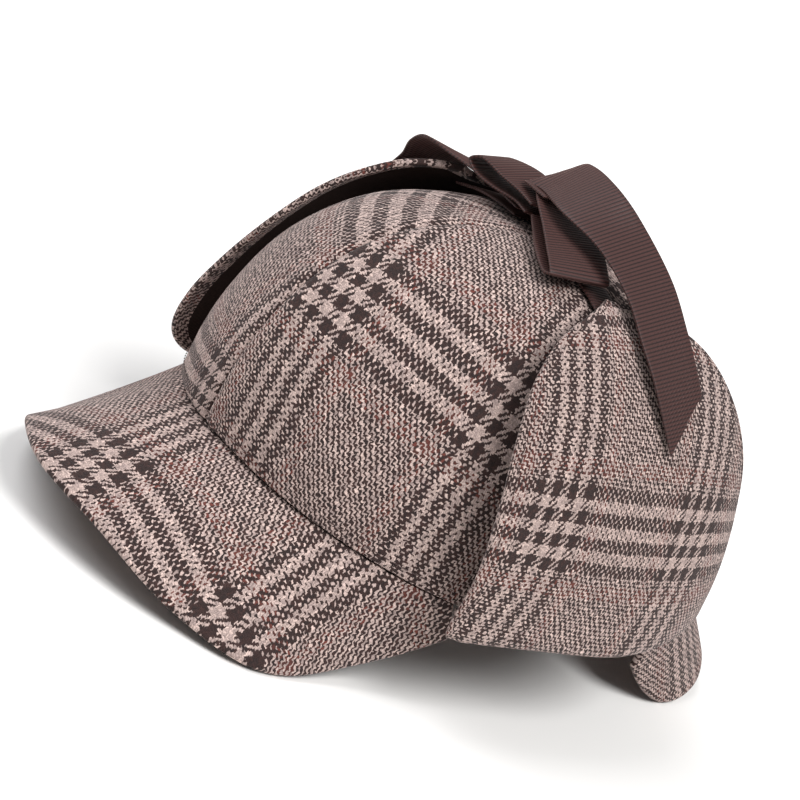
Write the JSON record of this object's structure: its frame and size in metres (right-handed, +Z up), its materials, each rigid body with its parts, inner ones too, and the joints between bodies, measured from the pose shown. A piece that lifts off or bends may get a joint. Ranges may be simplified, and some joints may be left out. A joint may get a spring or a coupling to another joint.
{
  "type": "deerstalker hat",
  "caption": "Checked cloth cap with a domed crown, a peak at the front and at the back, and ear flaps folded up and tied over the top with a ribbon bow.",
  "frame": {"origin": "middle of the hat's box, on the surface that both peaks rest on", "axes": "+Z up, -Y towards the wearer's face and the front peak, +X towards the wearer's left ear"},
  "size_m": [0.1958, 0.2951, 0.169],
  "materials": {
    "tweed": "woven wool twill with a brown and cream check",
    "grosgrain": "ribbed dark brown ribbon"
  },
  "bodies": {
    "root": {"crown_front_left": "tweed", "crown_front_right": "tweed", "crown_back_left": "tweed", "crown_back_right": "tweed", "front_peak": "tweed", "back_peak": "tweed", "ear_flap_left": "tweed", "ear_flap_right": "tweed", "ribbon_lead_left": "grosgrain", "ribbon_lead_right": "grosgrain", "bow_knot": "grosgrain", "bow_loop_left": "grosgrain", "bow_loop_right": "grosgrain", "ribbon_tail_left": "grosgrain", "ribbon_tail_right": "grosgrain"}
  },
  "joints": []
}
